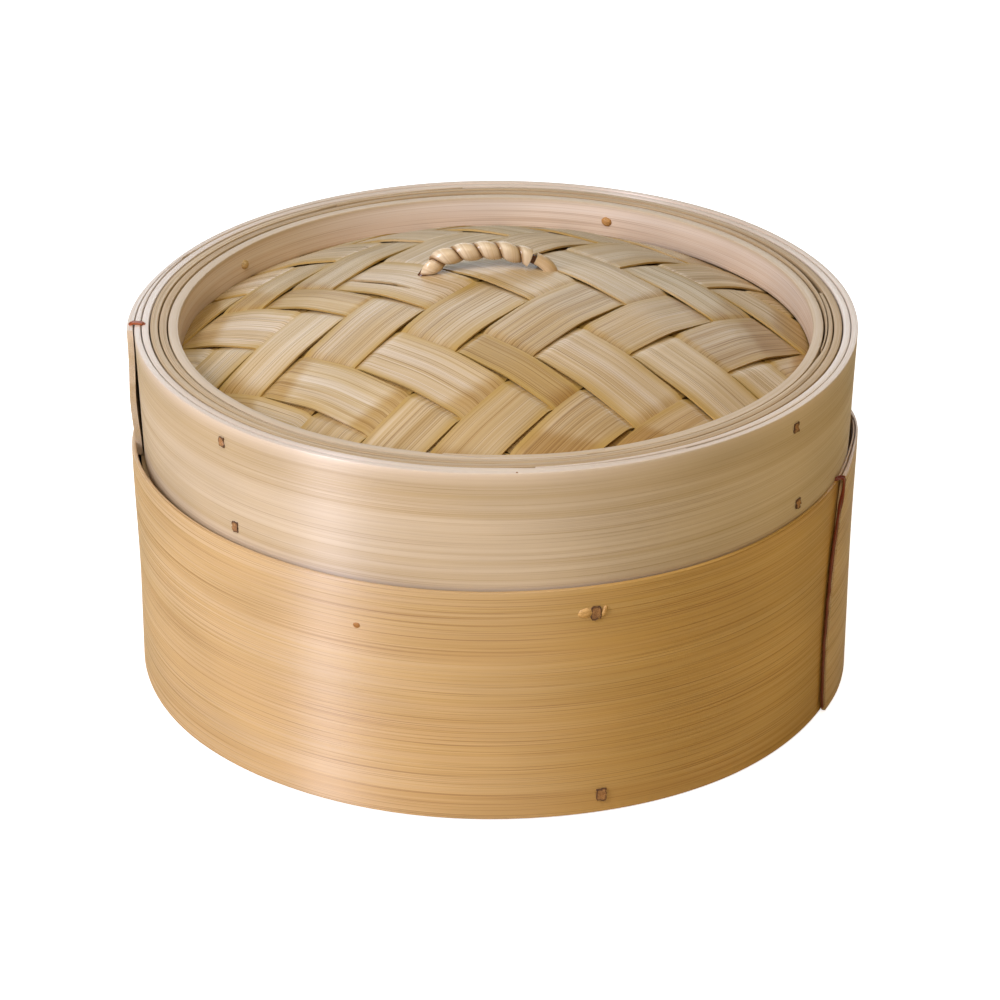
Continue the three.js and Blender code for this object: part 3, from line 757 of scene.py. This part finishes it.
def peg(node, body, side, inner, outer_end):
    low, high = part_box(node)
    middle = (low + high) / 2 / MM
    turn = math.atan2(middle.y, middle.x)
    length = outer_end - inner
    bm = flat_bar(length, side * 0.85, side, 6, even_cuts(side, 4, 0.9), even_cuts(side, 4, 0.8), side * 0.1)
    seed = middle.x + middle.z

    def shape(x, y, z):
        at_end = abs(x) > length / 2 - 0.01
        ragged = wander(seed, 1.9 * y + 3.1 * z, PEG_ENDS) if at_end else 0.0
        radius = inner + length / 2 + x + ragged
        y += wander(seed + 5, 2.1 * z + 1.3 * y, PEG_ENDS)
        z = 1.12 * z + wander(seed + 8, 2.3 * y + 0.9 * z, PEG_ENDS)
        slip = LID_SHIFT if body == "lid" else 0.0
        c, s = math.cos(turn), math.sin(turn)
        return radius * c - y * s + slip, radius * s + y * c, middle.z + z

    # The dark mark on the peg's sides and round its end is painted shade of the gap in its hole.
    def hole_gap_shade(flat):
        return max(abs(2 * flat.y / side) * 1.15, abs(2 * flat.z / side))

    place_bar(bm, shape, order=(0, 2, 1), offset=0.013 * seed, edge=hole_gap_shade)
    finish_piece(bm, node.replace("_peg", "_pin"), body, peg_bamboo, [node])


for node in [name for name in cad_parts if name.startswith("basket_peg")]:
    peg(node, "basket", BASKET_PEG, seat_inside - 0.3, basket_radius + BASKET_PEG_PROUD)
for node in [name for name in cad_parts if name.startswith("lid_peg_upper")]:
    peg(node, "lid", LID_PEG, rim_inside + UPPER_PEG_SHORT, lid_radius + UPPER_PEG_PROUD)
for node in [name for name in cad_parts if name.startswith("lid_peg_lower")]:
    peg(node, "lid", LID_PEG, rim_inside - LOWER_PEG_PROUD, lid_radius + LOWER_PEG_PROUD)


# %% Torn fibres and marks


def chip(name, body, material, degrees, height, radius, size, tilt=0.0, tone="#ffffff", shift=0.0):
    """A small sliver on a hoop's face: `size` is its length round the hoop, its height and its bulge."""
    length, tall, bulge = size
    bm = bmesh.new()
    bmesh.ops.create_uvsphere(bm, u_segments=16, v_segments=10, radius=0.5)
    bmesh.ops.scale(bm, vec=(length, bulge, tall), verts=bm.verts)
    c, s = math.cos(math.radians(tilt)), math.sin(math.radians(tilt))

    def shape(x, y, z):
        round_by = x * c - z * s
        up = x * s + z * c + wander(3, x * 1.3, 0.25)
        angle = math.radians(degrees) + round_by / radius
        out = radius + y + wander(9, x + 2 * z, 0.2)
        return out * math.cos(angle) + shift, out * math.sin(angle), height + up

    place_bar(bm, shape, order=(0, 2, 1), offset=0.01 * degrees, tone=tone)
    finish_piece(bm, name, body, material)


def node_place(node):
    """A node's angle in degrees and its height in millimetres, from the middle of its box."""
    low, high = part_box(node)
    middle = (low + high) / 2 / MM
    return math.degrees(math.atan2(middle.y, middle.x)), middle.z


forced, forced_height = node_place("basket_peg_upper_1")
torn_radius = basket_radius - 0.2
chip("torn_fibre_left", "basket", torn_bamboo, forced - 1.6, forced_height + 0.3, torn_radius,
     (5.4, 3.6, 1.7), 8, "#f4e4c8")
chip("torn_fibre_right", "basket", torn_bamboo, forced + 1.3, forced_height + 0.2, torn_radius,
     (1.9, 4.6, 1.7), -20, "#f4e4c8")
chip("torn_fibre_below", "basket", torn_bamboo, forced + 0.1, forced_height - 2.0, torn_radius,
     (3.4, 1.1, 1.3), 5, "#e2cfa8")
for number, tone in enumerate(("#f0e0d0", "#f0e0d0", "#f0d2a8", "#ffffff"), 1):
    degrees, height = node_place(f"lid_peg_upper_{number}")
    chip(f"peg_flush_{number}", "lid", torn_bamboo, degrees, height, rim_inside + 0.3,
         (4.0, 3.4, 2.6), 15, tone, LID_SHIFT)
chip("bud_scar", "basket", torn_bamboo, -110.9, 68.6, basket_radius, (2.4, 2.0, 0.4), 0,
     "#cfa878")
chip("edge_nick", "lid", peg_bamboo, -86.6, lid_top - 0.3, lid_radius + 1.2,
     (1.0, 1.3, 0.9), 30)
print("with the pegs and marks:", len(pieces), "pieces")

# %% [markdown]
# ## Handle
# A bent cane whose feet pass through the weave, bound with flat cane wound round it. Each turn of the
# binding bulges over the core. Near the right foot the binding stops short, and its tail, a flat strap,
# runs down over the core into the weave. A route through a few points gives the arch its real shape.

# %% The arch
HANDLE_MIDDLE = (-2.7, 5.5)
HANDLE_TURN = math.radians(6.7)
CORE = 1.6
ARCH = [(-24.6, 136.5), (-22.6, 139.6), (-19.6, 143.4), (-15.6, 146.6), (-9.5, 148.2), (-3.0, 148.9),
        (3.0, 148.7), (9.5, 147.4), (16.0, 144.9), (20.5, 141.6), (23.5, 136.5)]


def smooth_route(points, samples=24):
    """Points on a Catmull-Rom curve through `points`, spaced evenly along its length."""
    ends = [points[0] * 2 - points[1]] + points + [points[-1] * 2 - points[-2]]
    dense = []
    for a, b, c, d in zip(ends, ends[1:], ends[2:], ends[3:]):
        for i in range(samples):
            t = i / samples
            dense.append(0.5 * (2 * b + (c - a) * t + (2 * a - 5 * b + 4 * c - d) * t**2
                                + (3 * b - a - 3 * c + d) * t**3))
    dense.append(points[-1])
    return dense


class Route:
    """A curve measured by its length: at(distance) gives a place and a direction."""

    def __init__(self, points):
        self.points = smooth_route([Vector(p) for p in points])
        self.reached = [0.0]
        for a, b in zip(self.points, self.points[1:]):
            self.reached.append(self.reached[-1] + (b - a).length)
        self.length = self.reached[-1]

    def at(self, distance):
        distance = min(max(distance, 0.0), self.length)
        k = next((i for i, r in enumerate(self.reached[1:]) if r >= distance), len(self.points) - 2)
        a, b = self.points[k], self.points[k + 1]
        share = (distance - self.reached[k]) / max(1e-6, self.reached[k + 1] - self.reached[k])
        return a.lerp(b, share), (b - a).normalized()


arch = Route(ARCH)


def on_arch(distance, round_angle, radius):
    """A point at `radius` from the arch's middle line. Angle 0 is outwards, a quarter turn is in front."""
    place, way = arch.at(distance)
    local_x = place.x - radius * math.cos(round_angle) * way.y
    local_y = -radius * math.sin(round_angle)
    local_z = place.y + radius * math.cos(round_angle) * way.x
    c, s = math.cos(HANDLE_TURN), math.sin(HANDLE_TURN)
    return HANDLE_MIDDLE[0] + local_x * c - local_y * s, HANDLE_MIDDLE[1] + local_x * s + local_y * c, local_z


print("arch length", round(arch.length, 1), "mm")

# %% Core, binding and strap
WRAP_PITCH = 7.2
WRAP_WIDTH = 7.0
WRAP_THICKNESS = 0.9
WRAP_START = 4.5         # along the arch
WRAP_END = 45.0
WRAP_BULGE = 0.85
WRAP_SPARE = 0.7         # turns that run on past the end and are squeezed against it
TURN_LENGTH = 14.0       # about the length of cane in one turn
TURN_STEPS = 28          # cuts in one turn
STRAP_START = 46.9
STRAP_WIDTH = 6.4
STRAP_THICKNESS = 0.7
STRAP_CURL = 2.3         # the strap curls over the core with this radius

bm = bmesh.new()
bmesh.ops.create_cone(bm, segments=20, radius1=1, radius2=1, depth=1, cap_ends=True)
sides = [e for e in bm.edges if abs(e.verts[0].co.z - e.verts[1].co.z) > 0.5]
bmesh.ops.subdivide_edges(bm, edges=sides, cuts=60, use_grid_fill=True)
# The core's dark tone is painted shade, for the slit where it shows between the binding and the strap.
place_bar(bm, lambda x, y, z: on_arch((z + 0.5) * arch.length, math.atan2(y, x), CORE * math.hypot(x, y)),
          order=(2, 0, 1), offset=8.2, tone="#6e4c36")
finish_piece(bm, "handle_cane", "lid", handle_cane, ["handle_core"])

wrap_turns = (WRAP_END - WRAP_START) / WRAP_PITCH - 1 + WRAP_SPARE
wrap_run = wrap_turns * WRAP_PITCH
wrap_length = wrap_turns * TURN_LENGTH
bm = flat_bar(wrap_length, WRAP_WIDTH, WRAP_THICKNESS, round(wrap_turns * TURN_STEPS),
              even_cuts(WRAP_WIDTH, 9, 0.4), (), 0.3)


def wrap_shape(x, y, z):
    share = x / wrap_length + 0.5
    distance = WRAP_START + WRAP_PITCH / 2 + wrap_run * share + y
    distance = min(WRAP_END, distance)
    bulge = WRAP_BULGE * (1 - (2 * y / WRAP_WIDTH) ** 2) + wander(5, share * 9, 0.25)
    slim = 0.35 + 0.65 * smooth((distance - 1.5) / 9)
    return on_arch(distance, math.tau * wrap_turns * share + 0.6, (CORE + 0.5 + z + bulge) * slim)


# The edge mark paints shade into the creases between the binding's turns.
place_bar(bm, wrap_shape, offset=8.9, edge=lambda flat: abs(2 * flat.y / WRAP_WIDTH))
finish_piece(bm, "handle_binding", "lid", handle_cane, ["handle_wrap"])

strap_length = arch.length - STRAP_START
bm = flat_bar(strap_length, STRAP_WIDTH, STRAP_THICKNESS, 24, even_cuts(STRAP_WIDTH, 7, 0.4), (), 0.25)


def strap_shape(x, y, z):
    distance = STRAP_START + x + strap_length / 2
    rises = 0.5 * smooth((distance - STRAP_START) / 6)
    return on_arch(distance, y / STRAP_CURL + 0.5, 2.35 + z + rises)


place_bar(bm, strap_shape, offset=9.4, tone="#f2e6d6")
finish_piece(bm, "handle_strap", "lid", handle_cane)
print("with the handle:", len(pieces), "pieces")

# %% [markdown]
# ## Lacing
# Split cane holds the laps of the two outer bands. On the basket two dark strands come over the top edge,
# cross once and run down beside the lap as one line. On the lid one amber strap is bent over the edge.
# Each strand is a thin bar laid along a route of a few given points.

# %% The lacing


def strand(name, body, material, replaced, points, width, thickness, outwards):
    """A bar laid along a route of (x, y, z) points, its flat side facing `outwards(point)`."""
    route = Route(points)
    bm = flat_bar(route.length, width, thickness, max(24, round(route.length)), [0.0], (), thickness * 0.3, 3)

    def shape(x, y, z):
        distance = x + route.length / 2
        place, way = route.at(distance)
        face = outwards(place)
        side = way.cross(face).normalized()
        face = side.cross(way)
        twist = wander(len(name), distance * 0.15, 0.3)
        return place + side * (y + twist) + face * (z + wander(2, distance * 0.2, 0.25))

    place_bar(bm, shape, offset=0.7 * len(name))
    finish_piece(bm, name, body, material, replaced)


def cylinder_point(degrees, radius, z):
    return radius * math.cos(math.radians(degrees)), radius * math.sin(math.radians(degrees)), z


def beside_lap(z, radius, off=0.0):
    """A point just in front of the basket's lap, `off` millimetres further towards the front."""
    degrees = BASKET_LAP + basket_lap_line(z / basket_top) - math.degrees((0.9 + off) / basket_radius)
    return cylinder_point(degrees, radius, z)


def radially(place):
    return Vector((place.x, place.y, 0.35 * 125)).normalized()


def over_the_edge(place):
    return (Vector((place.x, place.y, 0)).normalized() * 0.4 + Vector((0, 0, 1))).normalized()


CORD = 1.1
skin = basket_radius + 0.45
upper_edge = basket_top + 0.5
strand("lacing_long", "basket", dark_lacing, ["basket_lacing"],
       [beside_lap(basket_top - 3, basket_inside - 0.3, 2.4),
        beside_lap(upper_edge, basket_inside + 0.4, 2.2),
        beside_lap(upper_edge + 0.1, skin + 0.5, 0.4), beside_lap(basket_top - 2.5, skin + 0.7, -0.5),
        beside_lap(74, skin + 0.4, 0.5), beside_lap(60, skin, 0.3), beside_lap(40, skin, 0.2),
        beside_lap(20, skin, 0.0), beside_lap(2, skin, 0.2)], CORD, CORD * 0.8, radially)
strand("lacing_short", "basket", dark_lacing, [],
       [beside_lap(upper_edge, basket_inside + 0.2, 3.0), beside_lap(upper_edge - 0.2, skin + 0.9, 1.6),
        beside_lap(78, skin + 0.9, -0.2), beside_lap(73, skin + 0.4, -1.1), beside_lap(66, skin + 0.2, -1.2),
        beside_lap(58, skin, -0.5), beside_lap(46, skin + 0.2, 0.3)], CORD * 0.8, CORD * 0.7, radially)

LID_STRAP = 183.6          # degrees
LID_STRAP_WIDTH = 2.0
LID_STRAP_THICKNESS = 0.8
strap_out = lid_radius + 2.9
strap_in = skin_inside - 0.2
strand("lid_strap", "lid", amber_lacing, ["lid_lacing"],
       [cylinder_point(LID_STRAP + 0.3, strap_out, lid_top - 3.4),
        cylinder_point(LID_STRAP + 0.2, strap_out, lid_top - 0.9),
        cylinder_point(LID_STRAP, strap_out - 1.2, lid_top + 0.45),
        cylinder_point(LID_STRAP, strap_in + 2.0, lid_top + 0.4),
        cylinder_point(LID_STRAP + 0.1, strap_in + 0.4, lid_top - 0.2),
        cylinder_point(LID_STRAP + 0.2, strap_in + 0.2, lid_top - 3)],
       LID_STRAP_WIDTH, LID_STRAP_THICKNESS, over_the_edge)
print("with the lacing:", len(pieces), "pieces")

# %% [markdown]
# ## Studio
# Five soft lights. A tall cool one at the left front draws a vertical shine across the fibres of the
# hoops. One above the front, one overhead and a cool one behind light the dome and the rim, and a weak
# warm one colours the right side. The floor and the room look plain and nearly white to the camera. To
# every other ray the floor is a pale tan and the room is nearly dark, so that the lamps do the lighting.

# %% Floor, world and lights
FLOOR_DROP = -0.0005           # metres, so that the feet don't share the floor's plane
MIDDLE_HEIGHT = 0.07           # metres, the height that the lights aim at
floor_mesh = bpy.data.meshes.new("studio_floor")
bm = bmesh.new()
bmesh.ops.create_grid(bm, x_segments=1, y_segments=1, size=6)
bm.to_mesh(floor_mesh)
bm.free()
pale_floor = bpy.data.materials.new("pale_floor")
pale_floor.use_nodes = True
tree = pale_floor.node_tree
tree.nodes.clear()
seen = add_node(tree, "ShaderNodeLightPath").outputs["Is Camera Ray"]
warm = add_node(tree, "ShaderNodeBsdfDiffuse", {"Color": linear("#ead9a8")})
white = add_node(tree, "ShaderNodeBsdfDiffuse", {"Color": linear("#f4f4f4")})
glow = add_node(tree, "ShaderNodeEmission", {"Color": linear("#ffffff"), "Strength": 0.75})
lifted = add_node(tree, "ShaderNodeAddShader", {0: white.outputs[0], 1: glow.outputs[0]})
either = add_node(tree, "ShaderNodeMixShader", {0: seen, 1: warm.outputs[0], 2: lifted.outputs[0]})
add_node(tree, "ShaderNodeOutputMaterial", {"Surface": either.outputs[0]})
floor_mesh.materials.append(pale_floor)
floor = bpy.data.objects.new("studio_floor", floor_mesh)
floor.location.z = FLOOR_DROP
scene.collection.objects.link(floor)
floor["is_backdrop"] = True


def soft_light(name, azimuth, elevation, distance, size, power, color):
    """A soft light aimed at the steamer. Azimuth 0 is the camera's side, and positive is to its right."""
    light = bpy.data.lights.new(name, "AREA")
    light.shape = "RECTANGLE"
    light.size, light.size_y = size
    light.energy = power
    light.color = linear(color)[:3]
    lamp = bpy.data.objects.new(name, light)
    a, e = math.radians(azimuth), math.radians(elevation)
    way = Vector((math.sin(a) * math.cos(e), -math.cos(a) * math.cos(e), math.sin(e)))
    lamp.location = Vector((0, 0, MIDDLE_HEIGHT)) + way * distance
    lamp.rotation_mode = "QUATERNION"
    lamp.rotation_quaternion = (-way).to_track_quat("-Z", "Y")
    scene.collection.objects.link(lamp)


LIGHTS = {             # azimuth, elevation in degrees; distance, size in metres; power in watts; colour
    "key_light": (-52, 30, 1.5, (0.28, 1.1), 23.5, "#ece9f8"),
    "front_light": (8, 50, 1.6, (0.6, 0.9), 7, "#ffead6"),
    "window_light": (178, 30, 1.8, (1.8, 0.6), 12, "#dae8f6"),
    "top_light": (0, 78, 1.7, (1.2, 1.2), 8, "#f4f8e8"),
    "right_light": (100, 25, 1.6, (0.8, 0.8), 3, "#ffc440"),
}
for name, setting in LIGHTS.items():
    soft_light(name, *setting)
print("lights:", len(LIGHTS))

world = bpy.data.worlds.new("pale_room")
scene.world = world
world.use_nodes = True
sky = world.node_tree
sky.nodes.clear()
seen = add_node(sky, "ShaderNodeLightPath").outputs["Is Camera Ray"]
room = add_node(sky, "ShaderNodeBackground", {"Color": linear("#f6f2ff"), "Strength": 0.03})
paper = add_node(sky, "ShaderNodeBackground", {"Color": (1, 1, 1, 1), "Strength": 1.0})
either = add_node(sky, "ShaderNodeMixShader", {0: seen, 1: room.outputs[0], 2: paper.outputs[0]})
add_node(sky, "ShaderNodeOutputWorld", {"Surface": either.outputs[0]})
scene.view_settings.view_transform = "Standard"

# %% [markdown]
# ## Camera
# A long lens from a little above, so that the rim reads as a flat ellipse. The small shift keeps the
# steamer where it belongs in the frame.

# %% The camera
CAMERA_ELEVATION = math.radians(26.35)
CAMERA_DISTANCE = 1.3719
CAMERA_AIM = Vector((0, 0, 0.06))
camera_data = bpy.data.cameras.new("camera")
camera_data.sensor_width = 36
camera_data.lens = 140.2
camera_data.shift_x = 0.0061
camera_data.shift_y = -0.0109
camera = bpy.data.objects.new("camera", camera_data)
back = Vector((0, -math.cos(CAMERA_ELEVATION), math.sin(CAMERA_ELEVATION)))
camera.location = CAMERA_AIM + back * CAMERA_DISTANCE
camera.rotation_euler = (math.pi / 2 - CAMERA_ELEVATION, 0, 0)
scene.collection.objects.link(camera)
scene.camera = camera
print("lens", camera_data.lens, "mm, distance", CAMERA_DISTANCE, "m")

# %% Measure the visual box beside the frame's box
final_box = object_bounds()
sizes = {"cad": [list(corner) for corner in cad_box], "visual": [list(corner) for corner in final_box]}
print("cad box", sizes["cad"], "visual box", sizes["visual"])
